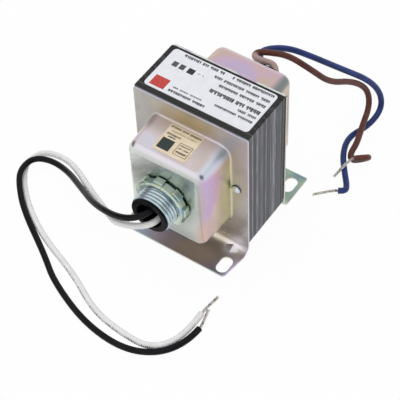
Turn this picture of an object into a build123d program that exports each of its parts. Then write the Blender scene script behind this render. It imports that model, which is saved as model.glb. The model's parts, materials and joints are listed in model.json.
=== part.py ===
from build123d import *
import math
import os

# Control transformer on four slotted feet, with a threaded conduit hub in front.
# Millimetres. Origin: middle of the four foot slots, on the mounting plane.
# +X points out of the conduit hub, +Y to the right of someone facing the hub, +Z up.

# Core: interleaved E and I laminations, stacked along X, tongue along Y
lamination_thickness = 0.66
sheets_per_packet = 4
packet_count = 12
window_length = 38.1
window_height = 12.7
limb_width = 12.7
tongue_width = 25.4
core_base_height = 7.3
stack_offset = 0.37

# Bells: drawn sheet covers, each with a flange, a cup and a bent foot
sheet = 1.0
bend_radius = 4.6
flange_drop = 0.6
flange_corner_radius = 1.0
cup_side_clearance = 2.65
cup_end_clearance = 1.9
cup_depth = 22.25
cup_draft = 3.0
cup_corner_radius = 6.5
cup_face_radius = 4.2
cup_root_radius = 1.2

# Feet: slots, outlines and the gussets pressed into the bends
slot_pitch_x = 60.3
slot_side_inset = 5.55
slot_length = 10.2
slot_width = 6.4
front_foot_margin = 6.4
rear_foot_margin = 8.3
front_foot_taper = 2.0
front_taper_length = 15.0
front_foot_corner_radius = 2.0
rear_foot_corner_radius = 0.6
gusset_height = 1.95
gusset_reach = 6.4
gusset_width = 13.6
gusset_inset = 7.8
gusset_root = 0.35

# Rivets through the stack, one in each side limb
rivet_radius = 2.0
rivet_clearance = 0.1
rivet_head_radius = 2.7
rivet_head_height = 1.7
rivet_seat_clearance = 0.15

# Conduit hub: flanged nipple, locknut and insulating bushing
thread_radius = 10.67
hub_hole_clearance = 0.35
nipple_wall = 2.37
nipple_reach = 12.3
nipple_end_chamfer = 0.5
nipple_head_rise = 2.53
nipple_head_thickness = 2.4
locknut_fit = 0.05
locknut_thickness = 5.2
locknut_wall = 2.18
locknut_rim_gap = 0.6
locknut_chamfer = 0.7
lug_count = 8
lug_rise = 1.3
lug_width = 5.0
lug_height = 4.0
lug_first_angle = 3.0
bushing_fit = 0.05
hub_bushing_lip_inset = 0.57
hub_bushing_lip = 1.1
hub_bushing_lip_round = 0.5
hub_bushing_depth = 9.0
hub_bushing_wall = 1.35

# Rear lead bushing, snapped into the rear bell
rear_bushing_y = 6.9
rear_bushing_rise = 13.4
rear_hole_radius = 6.35
rear_bushing_fit = 0.1
rear_bushing_head_radius = 7.6
rear_bushing_head = 3.4
rear_bushing_head_round = 1.2
rear_bushing_bore_radius = 4.6
rear_bushing_snap_radius = 6.9
rear_bushing_snap_depth = 2.2

# Coil: bobbin round the tongue, two windings and their wraps
bobbin_clearance = 0.3
bobbin_wall = 1.2
bobbin_flange = 1.2
bobbin_corner_radius = 0.8
bobbin_flange_corner_radius = 3.0
bobbin_end_clearance = 0.4
bobbin_overhang = 0.4
interlayer_wrap_build = 0.6
outer_wrap_build = 0.8
window_gap = 1.6

# Labels
label_thickness = 0.15
rating_label_side_margin = 2.75
rating_label_end_margin = 2.44
rating_label_corner_radius = 2.0
rating_label_setback = 0.57
front_label_width = 18.2
front_label_depth = 16.4
front_label_start = 1.75

# Leads: stranded wire with bare ends; inner ends sit in sleeves on the coil
lead_diameter = 3.2
bare_diameter = 1.15
bare_straight = 2.5
arc_share = 0.48
sleeve_radius = 2.3
sleeve_fit = 0.1
sleeve_cap = 1.5
sleeve_length = 7.0

# Derived places
packet_thickness = lamination_thickness * sheets_per_packet
stack_depth = packet_thickness * packet_count
stack_front_x = stack_offset + stack_depth / 2
stack_rear_x = stack_offset - stack_depth / 2
core_width = window_length + 2 * limb_width
core_height = tongue_width + 2 * (window_height + limb_width)
core_mid_z = core_base_height + core_height / 2
core_top_z = core_base_height + core_height
flange_top_z = core_top_z - flange_drop
side_limb_y = (core_width - limb_width) / 2
front_face_x = stack_front_x + sheet + cup_depth
rear_face_x = stack_rear_x - sheet - cup_depth
rear_bushing_z = core_mid_z + rear_bushing_rise
nipple_bore_radius = thread_radius - nipple_wall
nipple_head_radius = thread_radius + nipple_head_rise
locknut_bore_radius = thread_radius + locknut_fit
locknut_rim_radius = locknut_bore_radius + locknut_wall
lug_radius = locknut_rim_radius + lug_rise
hub_bushing_lip_radius = thread_radius - hub_bushing_lip_inset
hub_bushing_shank_radius = nipple_bore_radius - bushing_fit
hub_bushing_bore_radius = hub_bushing_shank_radius - hub_bushing_wall
bobbin_length = window_length - 2 * bobbin_end_clearance
wrap_build = interlayer_wrap_build + outer_wrap_build
winding_build = (window_height - bobbin_clearance - bobbin_wall - wrap_build - window_gap) / 2
coil_build = 2 * winding_build + wrap_build
bobbin_flange_build = bobbin_wall + coil_build + bobbin_overhang
cup_width = bobbin_length + 2 * (cup_side_clearance + sheet)
cup_height = tongue_width + 2 * (bobbin_clearance + bobbin_flange_build + cup_end_clearance + sheet)
slot_y = core_width / 2 - slot_side_inset
coil_front_x = stack_front_x + bobbin_clearance + bobbin_wall + coil_build
coil_rear_x = stack_rear_x - bobbin_clearance - bobbin_wall - coil_build
lead_radius = lead_diameter / 2

os.makedirs("parts", exist_ok=True)


def save(name, solids):
    # One file per piece; several loose solids go in as a group
    shape = Compound(children=list(solids)) if isinstance(solids, list) else solids
    export_step(shape, f"parts/{name}.step")


def turned(points, x, y, z):
    # Solid of revolution about an axis along X, from (distance, radius) points
    face = make_face(Polyline(*points, close=True))
    return Pos(x, y, z) * revolve(face, axis=Axis.X)


def rod_x(radius, length, y, z):
    # Cylinder along X, centred on the YZ plane
    return Pos(0, y, z) * Rot(0, 90, 0) * Cylinder(radius, length)


# Core laminations

def lamination_face(y_from, y_to):
    # Upright rectangle of sheet between two Y limits, over the whole core height
    return Pos((y_from + y_to) / 2, core_mid_z) * Rectangle(y_to - y_from, core_height)


def e_face(side):
    # E sheet with its spine on the given side; the windows open to the other side
    inner = -side * window_length / 2
    outer = side * core_width / 2
    face = lamination_face(min(inner, outer), max(inner, outer))
    window_z = tongue_width / 2 + window_height / 2
    for up in (-1, 1):
        face -= Pos(0, core_mid_z + up * window_z) * Rectangle(window_length, window_height)
    return face - rivet_hole_face(side)


def i_face(side):
    # I sheet that closes the E sheet's open side
    inner = side * window_length / 2
    outer = side * core_width / 2
    return lamination_face(min(inner, outer), max(inner, outer)) - rivet_hole_face(side)


def rivet_hole_face(side):
    return Pos(side * side_limb_y, core_mid_z) * Circle(rivet_radius + rivet_clearance)


def core_packets():
    # Packets alternate, so each butt joint is bridged by its neighbours
    e_packets = []
    i_packets = []
    for index in range(packet_count):
        side = 1 if index % 2 == 0 else -1
        plane = Plane.YZ.offset(stack_rear_x + index * packet_thickness)
        e_packets.append(extrude(plane * e_face(side), amount=packet_thickness))
        i_packets.append(extrude(plane * i_face(-side), amount=packet_thickness))
    return e_packets, i_packets


# Bells, built with X measured outwards from the core's face

def foot_and_flange(foot_end):
    corner = make_face(Polyline(
        (0, 0), (0, flange_top_z), (sheet, flange_top_z), (sheet, sheet), (foot_end, sheet), (foot_end, 0),
        close=True))
    inside = corner.vertices().sort_by_distance((sheet, sheet, 0))[0]
    corner = fillet(inside, bend_radius)
    outside = corner.vertices().sort_by_distance((0, 0, 0))[0]
    corner = fillet(outside, bend_radius + sheet)
    plate = extrude(Plane.XZ * corner, amount=core_width / 2, both=True)
    top_corners = plate.edges().filter_by(Axis.X).group_by(Axis.Z)[-1]
    return fillet(top_corners, flange_corner_radius)


def cup_solid(offset, start, depth):
    # Drafted cup with rounded corners, set in by an offset for the inner form
    outline = RectangleRounded(
        cup_width - 2 * offset, cup_height - 2 * offset, cup_corner_radius - offset)
    body = extrude(Plane.YZ.offset(start) * Pos(0, core_mid_z) * outline, amount=depth, taper=cup_draft)
    return fillet(body.edges().group_by(Axis.X)[-1], cup_face_radius - offset)


def cup_root_edges(shape, x):
    # Edges at one X that follow the cup's root, and none of the flange's own
    edges = shape.edges().filter_by_position(Axis.X, x - sheet / 10, x + sheet / 10)
    return edges.filter_by(
        lambda edge: abs(edge.center().Y) < core_width / 2 - sheet
        and abs(edge.center().Z - core_mid_z) < cup_height / 2 + sheet)


def gusset(y):
    # Low two-sided rib across the bend; its corners lie rooted in the sheet
    base_x = sheet + gusset_reach / 2
    base_z = sheet - gusset_root
    top = Vector(sheet + gusset_root, y, sheet + gusset_height)
    toe = Vector(sheet + gusset_reach, y, base_z)
    left = Vector(base_x, y - gusset_width / 2, base_z)
    right = Vector(base_x, y + gusset_width / 2, base_z)
    sides = [(top, toe, left), (top, right, toe), (top, left, right), (toe, right, left)]
    return Solid(Shell([Face(Wire.make_polygon(side, close=True)) for side in sides]))


def bell(slot_x, foot_end, face_hole):
    # Drawn cover: sheet with foot, cup, slots, gussets, rivet holes and a hole in its face
    cover = foot_and_flange(foot_end) + cup_solid(0, sheet, cup_depth)
    cover = fillet(cup_root_edges(cover, sheet), cup_root_radius)
    cover -= cup_solid(sheet, 0, cup_depth)
    cover = fillet(cup_root_edges(cover, 0), cup_root_radius + sheet)
    hollow = sheet / math.sqrt(2)
    for side in (-1, 1):
        rib = gusset(side * (core_width / 2 - gusset_inset))
        cover -= Pos(-hollow, 0, -hollow) * rib
        cover += rib
        slot = extrude(SlotOverall(slot_length, slot_width), amount=2 * sheet, both=True)
        cover -= Pos(slot_x, side * slot_y, 0) * slot
        hole_y = side * side_limb_y
        cover -= rod_x(rivet_radius + rivet_clearance, 4 * sheet, hole_y, core_mid_z)
        seat = Rot(0, 90, 0) * Cylinder(
            rivet_head_radius + rivet_seat_clearance, 2 * cup_root_radius,
            align=(Align.CENTER, Align.CENTER, Align.MIN))
        cover -= Pos(sheet, hole_y, core_mid_z) * seat
    return cover - Pos(sheet + cup_depth, 0, 0) * face_hole


def round_foot(cover, corner_radius):
    ends = cover.edges().filter_by(Axis.Z).filter_by_position(Axis.Z, 0, sheet).group_by(Axis.X)[-1]
    return fillet(ends, corner_radius)


def front_bell():
    slot_x = slot_pitch_x / 2 - stack_front_x
    hub_hole = rod_x(thread_radius + hub_hole_clearance, 4 * sheet, 0, core_mid_z)
    foot_end = slot_x + front_foot_margin
    cover = bell(slot_x, foot_end, hub_hole)
    for side in (-1, 1):
        corner = make_face(Polyline(
            (foot_end - front_taper_length, side * core_width / 2),
            (foot_end, side * (core_width / 2 - front_foot_taper)),
            (foot_end, side * core_width / 2), close=True))
        cover -= extrude(corner, amount=2 * sheet, both=True)
    return Pos(stack_front_x, 0, 0) * round_foot(cover, front_foot_corner_radius)


def rear_bell():
    slot_x = slot_pitch_x / 2 + stack_rear_x
    lead_hole = rod_x(rear_hole_radius, 4 * sheet, -rear_bushing_y, rear_bushing_z)
    cover = bell(slot_x, slot_x + rear_foot_margin, lead_hole)
    return Pos(stack_rear_x, 0, 0) * Rot(0, 0, 180) * round_foot(cover, rear_foot_corner_radius)


def rivets():
    # Snap-head rivets; the same dome is formed on both ends
    grip_end = stack_depth / 2 + sheet
    tip = grip_end + rivet_head_height
    dome_radius = (rivet_head_radius ** 2 + rivet_head_height ** 2) / (2 * rivet_head_height)
    dome_angle = math.degrees(math.asin(rivet_head_radius / dome_radius))
    outline = [
        CenterArc((tip - dome_radius, 0), dome_radius, 0, dome_angle),
        Polyline(
            (grip_end, rivet_head_radius), (grip_end, rivet_radius),
            (-grip_end, rivet_radius), (-grip_end, rivet_head_radius)),
        CenterArc((dome_radius - tip, 0), dome_radius, 180 - dome_angle, dome_angle),
        Line((-tip, 0), (tip, 0)),
    ]
    rivet = revolve(make_face(outline), axis=Axis.X)
    return [Pos(stack_offset, side * side_limb_y, core_mid_z) * rivet for side in (-1, 1)]


# Conduit hub, with distances along X measured from the front bell's face

def conduit_nipple():
    inside = -sheet
    end = nipple_reach
    return turned([
        (inside - nipple_head_thickness, nipple_bore_radius),
        (inside - nipple_head_thickness, nipple_head_radius),
        (inside, nipple_head_radius),
        (inside, thread_radius),
        (end - nipple_end_chamfer, thread_radius),
        (end, thread_radius - nipple_end_chamfer),
        (end, nipple_bore_radius)], front_face_x, 0, core_mid_z)


def locknut():
    nut = turned([
        (locknut_rim_gap, locknut_bore_radius),
        (locknut_rim_gap, locknut_rim_radius),
        (locknut_thickness - locknut_chamfer, locknut_rim_radius),
        (locknut_thickness, locknut_rim_radius - locknut_chamfer),
        (locknut_thickness, locknut_bore_radius)], 0, 0, 0)
    for index in range(lug_count):
        lug = Pos(lug_height / 2, 0, lug_radius / 2) * Box(lug_height, lug_width, lug_radius)
        lug &= rod_x(lug_radius, 2 * lug_height, 0, 0)
        nut += Rot(lug_first_angle + index * 360 / lug_count, 0, 0) * (
            lug - rod_x(locknut_bore_radius, 4 * lug_height, 0, 0))
    return Pos(front_face_x, 0, core_mid_z) * nut


def hub_bushing():
    end = nipple_reach
    lip = end + hub_bushing_lip
    bush = turned([
        (end - hub_bushing_depth, hub_bushing_bore_radius),
        (end - hub_bushing_depth, hub_bushing_shank_radius),
        (end, hub_bushing_shank_radius),
        (end, hub_bushing_lip_radius),
        (lip, hub_bushing_lip_radius),
        (lip, hub_bushing_bore_radius)], front_face_x, 0, core_mid_z)
    return fillet(bush.edges().group_by(Axis.X)[-1], hub_bushing_lip_round)


def rear_bushing():
    # Snap bushing: head outside, shank through the sheet, snap ring behind it
    shank = rear_hole_radius - rear_bushing_fit
    bush = turned([
        (-rear_bushing_head, rear_bushing_bore_radius),
        (-rear_bushing_head, rear_bushing_head_radius),
        (0, rear_bushing_head_radius),
        (0, shank),
        (sheet, shank),
        (sheet, rear_bushing_snap_radius),
        (sheet + rear_bushing_snap_depth, shank),
        (sheet + rear_bushing_snap_depth, rear_bushing_bore_radius)],
        rear_face_x, rear_bushing_y, rear_bushing_z)
    outer_rim = bush.edges().group_by(Axis.X)[0]
    return fillet(outer_rim, rear_bushing_head_round)


# Coil round the tongue

def coil_block(build, corner_radius, length):
    # Block round the tongue's axis, a given build beyond the bobbin's bore
    depth = stack_depth + 2 * (bobbin_clearance + build)
    height = tongue_width + 2 * (bobbin_clearance + build)
    outline = Plane.XZ * RectangleRounded(depth, height, corner_radius)
    return Pos(stack_offset, 0, core_mid_z) * extrude(outline, amount=length / 2, both=True)


def coil_ring(start, build, length):
    # One winding or wrap: its corners grow with its distance from the bobbin
    inner_corner = bobbin_corner_radius + start
    outer = coil_block(bobbin_wall + start + build, inner_corner + build, length)
    return outer - coil_block(bobbin_wall + start, inner_corner, length)


def bobbin():
    body = coil_block(bobbin_wall, bobbin_corner_radius, bobbin_length)
    for end in (-1, 1):
        flange = coil_block(bobbin_flange_build, bobbin_flange_corner_radius, bobbin_flange)
        body += Pos(0, end * (bobbin_length - bobbin_flange) / 2, 0) * flange
    bore = Box(stack_depth + 2 * bobbin_clearance, bobbin_length, tongue_width + 2 * bobbin_clearance)
    return body - Pos(stack_offset, 0, core_mid_z) * bore


def windings():
    # Primary, wrap, secondary and outer wrap, each wound on the one before
    length = bobbin_length - 2 * bobbin_flange
    builds = {
        "primary_winding": winding_build,
        "interlayer_wrap": interlayer_wrap_build,
        "secondary_winding": winding_build,
        "outer_wrap": outer_wrap_build,
    }
    rings = {}
    start = 0
    for name, build in builds.items():
        rings[name] = coil_ring(start, build, length)
        start += build
    return rings


# Labels

def rating_label():
    outline = Pos(stack_offset - rating_label_setback, 0) * RectangleRounded(
        stack_depth - 2 * rating_label_end_margin, core_width - 2 * rating_label_side_margin,
        rating_label_corner_radius)
    return extrude(Plane.XY.offset(core_top_z) * outline, amount=label_thickness)


def front_label():
    # Lies on the cup's drafted upper wall
    wall_z = core_mid_z + cup_height / 2
    along = (front_label_start + front_label_depth / 2) / math.cos(math.radians(cup_draft))
    plate = Pos(along, 0, label_thickness / 2) * Box(front_label_depth, front_label_width, label_thickness)
    return Pos(stack_front_x + sheet, 0, wall_z) * Rot(0, cup_draft, 0) * plate


# Leads: hand-placed points from the sleeve on the coil to the cut end, then the bare tip

lead_routes = {
    "black": [
        (29.6, 1.5, 59.5), (29.6, 1.5, 48.5), (43.0, 1.9, 48.9), (56.5, -0.8, 48.0), (59.3, -12.4, 42.0),
        (53.4, -32.4, 32.5), (40.9, -51.1, 19.5), (28.5, -70.5, 7.8), (25.3, -84.4, 4.8), (29.5, -93.1, 5.3),
        (39.1, -93.5, 5.8), (46.6, -89.0, 5.1), (57.8, -77.3, 2.5), (73.6, -51.8, 1.6), (84.5, -37.1, 1.6),
        (96.3, -7.9, 1.6), (97.1, 19.2, 1.6), (82.6, 36.5, 1.6), (68.3, 37.3, 1.6)],
    "white": [
        (29.6, 4.2, 32.0), (29.6, 4.2, 43.0), (43.0, 4.4, 43.2), (55.9, 2.3, 41.8), (59.4, -14.7, 36.2),
        (52.5, -25.6, 30.0), (40.1, -46.3, 20.5), (27.6, -63.5, 10.0), (19.4, -78.3, 3.2), (20.0, -92.2, 1.6),
        (27.7, -96.3, 1.6), (36.2, -94.6, 1.6), (49.9, -82.7, 1.6), (64.5, -61.2, 1.6), (75.4, -31.8, 1.6),
        (87.2, -11.4, 1.6), (90.5, 8.4, 1.6), (90.0, 25.1, 1.6), (76.0, 33.9, 1.6), (60.5, 33.3, 1.6)],
    "blue": [
        (-28.87, 4.8, 46.5), (-28.87, 4.8, 57.5), (-41.0, 5.3, 58.2), (-47.6, -0.9, 57.5), (-53.8, -7.8, 57.1),
        (-59.6, -7.7, 57.0), (-66.8, 1.3, 56.2), (-73.5, 11.4, 48.5), (-84.7, 22.6, 36.0),
        (-96.8, 32.6, 23.0), (-101.3, 38.2, 12.0), (-97.5, 41.3, 4.5), (-86.0, 40.2, 1.7),
        (-74.0, 35.2, 1.6), (-62.1, 38.5, 1.6), (-51.2, 46.3, 1.6), (-45.0, 51.2, 1.6), (-41.2, 52.6, 1.6),
        (-39.6, 49.2, 1.6)],
    "brown": [
        (-28.87, 9.8, 48.0), (-28.87, 9.8, 59.0), (-40.3, 9.5, 59.3), (-46.4, 9.4, 60.3), (-48.7, 5.3, 60.9),
        (-47.5, -0.6, 61.2), (-46.8, -6.3, 61.2), (-50.8, -7.1, 61.2), (-53.7, -1.7, 61.2),
        (-58.8, 6.2, 59.2), (-63.0, 16.8, 51.5), (-70.7, 23.9, 39.0), (-86.6, 28.0, 28.5),
        (-95.9, 32.6, 17.5), (-92.9, 36.6, 9.5), (-79.6, 39.6, 6.2), (-70.3, 42.3, 4.6),
        (-63.2, 42.4, 2.6), (-60.5, 44.9, 1.6), (-64.9, 49.6, 1.6), (-65.6, 52.3, 4.0), (-62.8, 52.2, 6.5),
        (-60.6, 49.7, 6.8), (-58.6, 47.1, 6.5)],
}
bare_tips = {
    "black": (56.6, 34.6, 0.8),
    "white": (47.3, 34.4, 0.8),
    "blue": (-30.6, 39.3, 0.8),
    "brown": (-46.0, 42.7, 1.6),
}


def arc_radii(points):
    # Each arc is as large as its two runs allow
    radii = []
    for before, corner, after in zip(points, points[1:], points[2:]):
        run_in = Vector(*corner) - Vector(*before)
        run_out = Vector(*after) - Vector(*corner)
        half_turn = math.radians(run_in.get_angle(run_out)) / 2
        radii.append(arc_share * min(run_in.length, run_out.length) / math.tan(half_turn))
    return radii


def round_tube(points, diameter):
    path = FilletPolyline(*points, radius=arc_radii(points))
    start = Plane(origin=path @ 0, z_dir=path % 0)
    return sweep(start * Circle(diameter / 2), path=path), path.length


def sleeve(route, seat_x):
    # Blind insulating sleeve over the lead's inner end, laid against the coil
    first = Vector(*route[0])
    upward = 1 if route[0][2] > route[1][2] else -1
    middle_z = first.Z + upward * (sleeve_cap - sleeve_length / 2)
    body = Pos(seat_x, first.Y, middle_z) * Cylinder(sleeve_radius, sleeve_length)
    hole_z = middle_z - upward * sleeve_cap
    return body - Pos(seat_x, first.Y, hole_z) * Cylinder(lead_radius + sleeve_fit, sleeve_length)


def bare_end(route, tip):
    end = Vector(*route[-1])
    last_run = (end - Vector(*route[-2])).normalized()
    knee = end + last_run * bare_straight
    return round_tube([tuple(end), tuple(knee), tip], bare_diameter)[0]


e_packets, i_packets = core_packets()
save("e_laminations", e_packets)
save("i_laminations", i_packets)
save("front_bell", front_bell())
save("rear_bell", rear_bell())
save("rivets", rivets())
save("conduit_nipple", conduit_nipple())
save("locknut", locknut())
save("hub_bushing", hub_bushing())
save("rear_bushing", rear_bushing())
save("bobbin", bobbin())
for ring_name, ring in windings().items():
    save(ring_name, ring)
save("rating_label", rating_label())
save("front_label", front_label())
sleeve_seats = {
    "primary_sleeves": (("black", "white"), coil_front_x + sleeve_radius),
    "secondary_sleeves": (("blue", "brown"), coil_rear_x - sleeve_radius),
}
for sleeve_name, (colours, seat_x) in sleeve_seats.items():
    save(sleeve_name, [sleeve(lead_routes[colour], seat_x) for colour in colours])
for colour, route in lead_routes.items():
    tube, length = round_tube(route, lead_diameter)
    save(f"{colour}_lead", tube)
    save(f"{colour}_lead_end", bare_end(route, bare_tips[colour]))
    section = math.pi * lead_radius ** 2
    print(colour, "lead", round(length, 1), "mm long, volume ratio", round(tube.volume / (section * length), 4))
    print("  arc radii", [round(radius, 1) for radius in arc_radii(route)])
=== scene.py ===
import json
import math
from functools import partial
import bpy
import numpy as np
from mathutils import Matrix, Vector
from mathutils.geometry import tessellate_polygon

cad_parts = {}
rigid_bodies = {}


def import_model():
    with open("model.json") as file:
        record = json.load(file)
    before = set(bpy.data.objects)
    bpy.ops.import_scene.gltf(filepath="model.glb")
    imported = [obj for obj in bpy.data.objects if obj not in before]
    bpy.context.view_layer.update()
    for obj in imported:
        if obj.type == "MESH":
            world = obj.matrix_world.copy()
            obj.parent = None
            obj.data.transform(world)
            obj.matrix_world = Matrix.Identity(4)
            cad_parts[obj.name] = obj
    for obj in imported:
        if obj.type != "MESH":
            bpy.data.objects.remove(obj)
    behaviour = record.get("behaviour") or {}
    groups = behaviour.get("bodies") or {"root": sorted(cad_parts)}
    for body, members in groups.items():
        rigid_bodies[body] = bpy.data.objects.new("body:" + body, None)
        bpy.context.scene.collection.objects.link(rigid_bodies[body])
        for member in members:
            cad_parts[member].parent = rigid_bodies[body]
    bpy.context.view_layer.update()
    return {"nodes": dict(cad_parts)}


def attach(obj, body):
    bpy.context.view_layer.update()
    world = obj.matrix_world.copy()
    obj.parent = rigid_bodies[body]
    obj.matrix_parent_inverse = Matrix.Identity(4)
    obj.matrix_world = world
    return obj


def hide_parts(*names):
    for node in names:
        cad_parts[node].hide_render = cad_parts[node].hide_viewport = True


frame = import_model()
nodes = frame["nodes"]
sceneObjects = bpy.context.scene.collection.objects
mm = 0.001
smooth = {"interpolation_type": "SMOOTHSTEP"}
coloured = {"data_type": "RGBA"}
noiseSpan = (0.3, 0.7)   # where most of a noise's values lie
print("frame:", len(nodes), "CAD nodes")


def hexLinear(code):
    # sRGB hex to linear red, green, blue, alpha: below 0.04045 a straight line, above it a power of 2.4
    srgb = np.array([int(code[i:i + 2], 16) for i in (0, 2, 4)]) / 255
    linear = np.where(srgb <= 0.04045, srgb / 12.92, ((srgb + 0.055) / 1.055) ** 2.4)
    return (*linear.tolist(), 1.0)


def metres(lengths):
    return [length * mm for length in lengths]


def addNode(tree, kind, links=(), stops=(), **settings):
    # Adds one node and gives its first output in use. Links go to its inputs by name or in order: a socket is
    # linked, a hex colour turned linear, another value set. Stops are a ramp's places and hex colours
    node = tree.nodes.new("ShaderNode" + kind)
    for key, value in settings.items():
        setattr(node, key, value)
    for key, value in links.items() if isinstance(links, dict) else enumerate(links):
        if isinstance(value, bpy.types.NodeSocket):
            tree.links.new(value, node.inputs[key])
        else:
            node.inputs[key].default_value = hexLinear(value) if isinstance(value, str) else value
    if stops:
        elements = node.color_ramp.elements
        while len(elements) < len(stops):
            elements.new(0.5)
        for element, (place, code) in zip(elements, stops):
            element.position, element.color = place, hexLinear(code)
    return next((socket for socket in node.outputs if socket.enabled), None)


def emptyTree(owner):
    # Clears the nodes of a material or world, and gives addNode for its tree
    owner.use_nodes = True
    owner.node_tree.nodes.clear()
    return partial(addNode, owner.node_tree)


def newMaterial(name, recipe, *values):
    # A recipe works out the sockets of one principled shader from a piece's coordinates
    material = bpy.data.materials.new(name)
    add = emptyTree(material)
    shader = add("BsdfPrincipled", recipe(add, add("TexCoord").node.outputs, *values))
    add("OutputMaterial", {"Surface": shader})
    return material


def gridFaces(rows, columns, wrapRows=False, wrapColumns=False, stride=None):
    # Quads between neighbours on a grid of points, a stride from row to row; a wrapped direction joins its
    # last line to its first
    r = np.arange(rows if wrapRows else rows - 1)[:, None]
    c = np.arange(columns if wrapColumns else columns - 1)
    nextRow, nextColumn = (r + 1) % rows, (c + 1) % columns
    corners = [(r, c), (r, nextColumn), (nextRow, nextColumn), (nextRow, c)]
    return np.stack([row * (stride or columns) + column for row, column in corners], -1).reshape(-1, 4)


def facingOut(points, quads):
    # The volume under the faces is negative when they point inwards, and then each face is turned round
    a, b, c, d = (points[quads[:, k]] for k in range(4))
    volume = (a * (np.cross(b, c) + np.cross(c, d))).sum()
    return quads if volume > 0 else quads[:, ::-1]


def endCaps(walls, rimSteps, steps):
    # A tube's two end faces, each run against the way in which the walls pass along its rim
    rim = np.arange(rimSteps)
    first = rim[::-1] if walls[0, 0] < walls[0, 1] < rimSteps else rim
    return first, first[::-1] + (steps - 1) * rimSteps


def settle(piece, replaced=()):
    sceneObjects.link(piece)
    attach(piece, "root")
    if replaced:
        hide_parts(*replaced)
    return piece


def putPiece(name, points, faces, material, replaced=(), crease=32):
    # Points in mm; edges that turn by more than the crease angle (degrees) stay sharp
    mesh = bpy.data.meshes.new(name)
    mesh.from_pydata((points.reshape(-1, 3) * mm).tolist(), [], [list(face) for face in faces])
    mesh.shade_smooth()
    mesh.set_sharp_from_angle(angle=math.radians(crease))
    mesh.materials.append(material)
    return settle(bpy.data.objects.new(name, mesh), replaced)


viewpoint = {
    "place": (0.37450, 0.26562, 0.57179), "clip": (0.05, 50.0),   # metres
    "azimuth": 36.237, "elevation": 51.104, "roll": -2.687,   # degrees
    "focalPixels": 1445.0, "imagePixels": 400, "sensorWidth": 36.0,
}


def addCamera():
    # Forward comes from azimuth and elevation; right and up are then turned by the roll
    azimuth, elevation, roll = (math.radians(viewpoint[k]) for k in ("azimuth", "elevation", "roll"))
    forward = -np.array([math.cos(elevation) * math.cos(azimuth),
                         math.cos(elevation) * math.sin(azimuth), math.sin(elevation)])
    level = np.cross(forward, (0, 0, 1))
    level /= np.linalg.norm(level)
    upright = np.cross(level, forward)
    right = math.cos(roll) * level + math.sin(roll) * upright
    up = math.cos(roll) * upright - math.sin(roll) * level
    turn = Matrix(np.column_stack([right, up, -forward]).tolist()).to_quaternion()
    lens = bpy.data.cameras.new("photoCamera")
    lens.sensor_width = viewpoint["sensorWidth"]
    lens.lens = viewpoint["focalPixels"] / viewpoint["imagePixels"] * viewpoint["sensorWidth"]
    lens.clip_start, lens.clip_end = viewpoint["clip"]
    camera = bpy.data.objects.new("photoCamera", lens)
    camera.matrix_world = Matrix.LocRotScale(Vector(viewpoint["place"]), turn, None)
    sceneObjects.link(camera)
    bpy.context.scene.camera = camera


addCamera()
bpy.context.scene.view_settings.view_transform = "Standard"
print("camera placed")

studio = {
    "floorSize": 6.0, "floorSteps": 9, "floorColour": "fafafa", "floorGlow": 0.96, "mirroredGlow": 0.68,
    "surround": 0.52,   # what the surround gives to matt surfaces; it shows as plain white
    # where shiny surfaces show the room darker: direction, degrees to full and to no effect, depth
    "dimPatches": [
        ((-0.43, -0.37, 0.82), 10, 42, 0.12),
        ((0.110, 0.850, 0.500), 13, 33, 0.92),
        ((0.10, -0.98, 0.08), 16, 42, 0.88),
        ((-0.02, -0.371, 0.93), 3, 11, 0.22),
    ],
    "aim": (0, 0, 0.05),
    "softBoxes": [   # name, place, size (m), power (W)
        ("overheadBox", (-0.10, -0.20, 1.10), 1.30, 5.2),
        ("frontBox", (1.05, -0.45, 0.75), 0.80, 1.6),
        ("sideBox", (0.10, 1.10, 0.80), 0.80, 1.4),
    ],
}


def seenByCamera(add):
    # 1 for rays from the camera, straight or through glass, which see a white page; then 1 for glossy rays
    path = add("LightPath").node.outputs
    direct = add("Math", [path["Is Camera Ray"], path["Is Transmission Ray"]], operation="MAXIMUM")
    return direct, path["Is Glossy Ray"]


def addFloor():
    # Paper sweep: matt and nearly white, with enough glow to read as a white page under a faint shadow
    material = bpy.data.materials.new("mattPaperSweep")
    add = emptyTree(material)
    direct, glossy = seenByCamera(add)
    glow = add("Math", [direct, studio["floorGlow"]], operation="MULTIPLY")
    mirrored = add("Math", [glossy, studio["mirroredGlow"]], operation="MULTIPLY")
    glow = add("Math", [glow, mirrored], operation="MAXIMUM")
    paper = add("BsdfDiffuse", {"Color": studio["floorColour"]})
    white = add("Emission", {"Color": "ffffff", "Strength": 1.0})
    page = add("MixShader", [glow, paper, white])
    add("OutputMaterial", {"Surface": page})
    half, steps = studio["floorSize"] / 2, studio["floorSteps"]
    across = np.linspace(-half, half, steps)
    points = np.stack([*np.meshgrid(across, across, indexing="ij"), np.zeros((steps, steps))], -1)
    mesh = bpy.data.meshes.new("paperFloor")
    mesh.from_pydata(points.reshape(-1, 3).tolist(), [], gridFaces(steps, steps)[:, ::-1].tolist())
    mesh.materials.append(material)
    floor = bpy.data.objects.new("paperFloor", mesh)
    sceneObjects.link(floor)


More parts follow.
